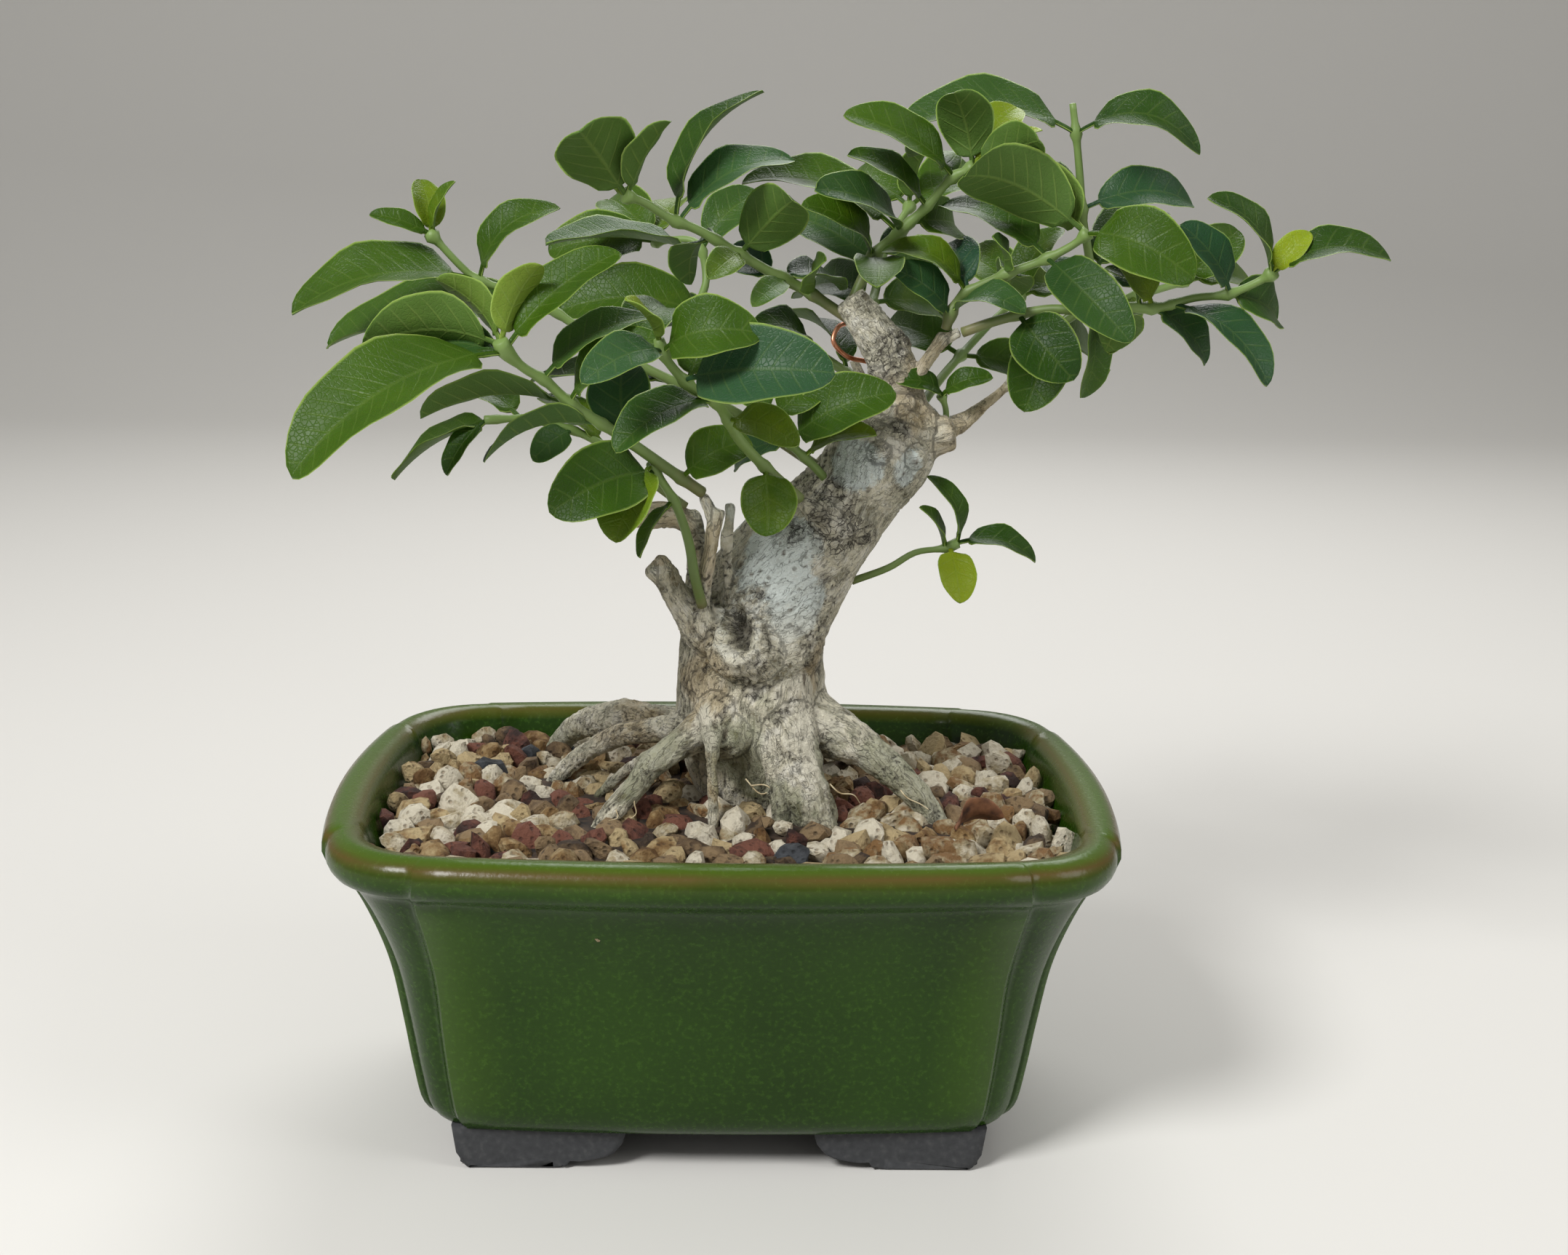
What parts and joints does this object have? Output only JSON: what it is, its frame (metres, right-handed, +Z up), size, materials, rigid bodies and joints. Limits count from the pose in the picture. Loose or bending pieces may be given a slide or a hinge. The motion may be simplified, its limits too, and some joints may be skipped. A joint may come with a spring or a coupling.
{
  "type": "premna bonsai",
  "caption": "Small premna bonsai with a leaning pale trunk, spreading surface roots and glossy leaves, in a green glazed rectangular pot filled with gravel.",
  "frame": {"origin": "middle of the whole part's footprint, on the surface that the pot's feet stand on", "axes": "+Z up, +X to the right along the pot's long side, +Y away from the front of the tree, so the front faces -Y"},
  "size_m": [0.194, 0.1152, 0.1982],
  "materials": {
    "glazed_stoneware": "glossy green glaze over stoneware, bare clay feet",
    "gravel": "mixed pumice, baked clay and lava grains",
    "bark": "pale cracked bark",
    "leaf": "glossy green leaves on green stems",
    "screen_plastic": "moulded black mesh",
    "copper": "annealed copper wire"
  },
  "bodies": {
    "root": {"pot": "glazed_stoneware", "drain_screen_left": "screen_plastic", "drain_screen_right": "screen_plastic", "soil": "gravel", "trunk": "bark", "wire": "copper", "leaves_left_low": "leaf", "leaves_left_mid": "leaf", "leaves_left_far": "leaf", "leaves_left_under": "leaf", "leaves_top_left": "leaf", "leaves_top_centre": "leaf", "leaves_mid_right": "leaf", "leaves_right_long": "leaf", "leaves_right_back": "leaf", "leaves_centre_front": "leaf", "leaves_centre_back": "leaf", "leaves_right_low": "leaf", "leaves_stub": "leaf", "leaves_back_left": "leaf", "leaves_back_centre": "leaf", "leaves_back_right": "leaf"}
  },
  "joints": []
}
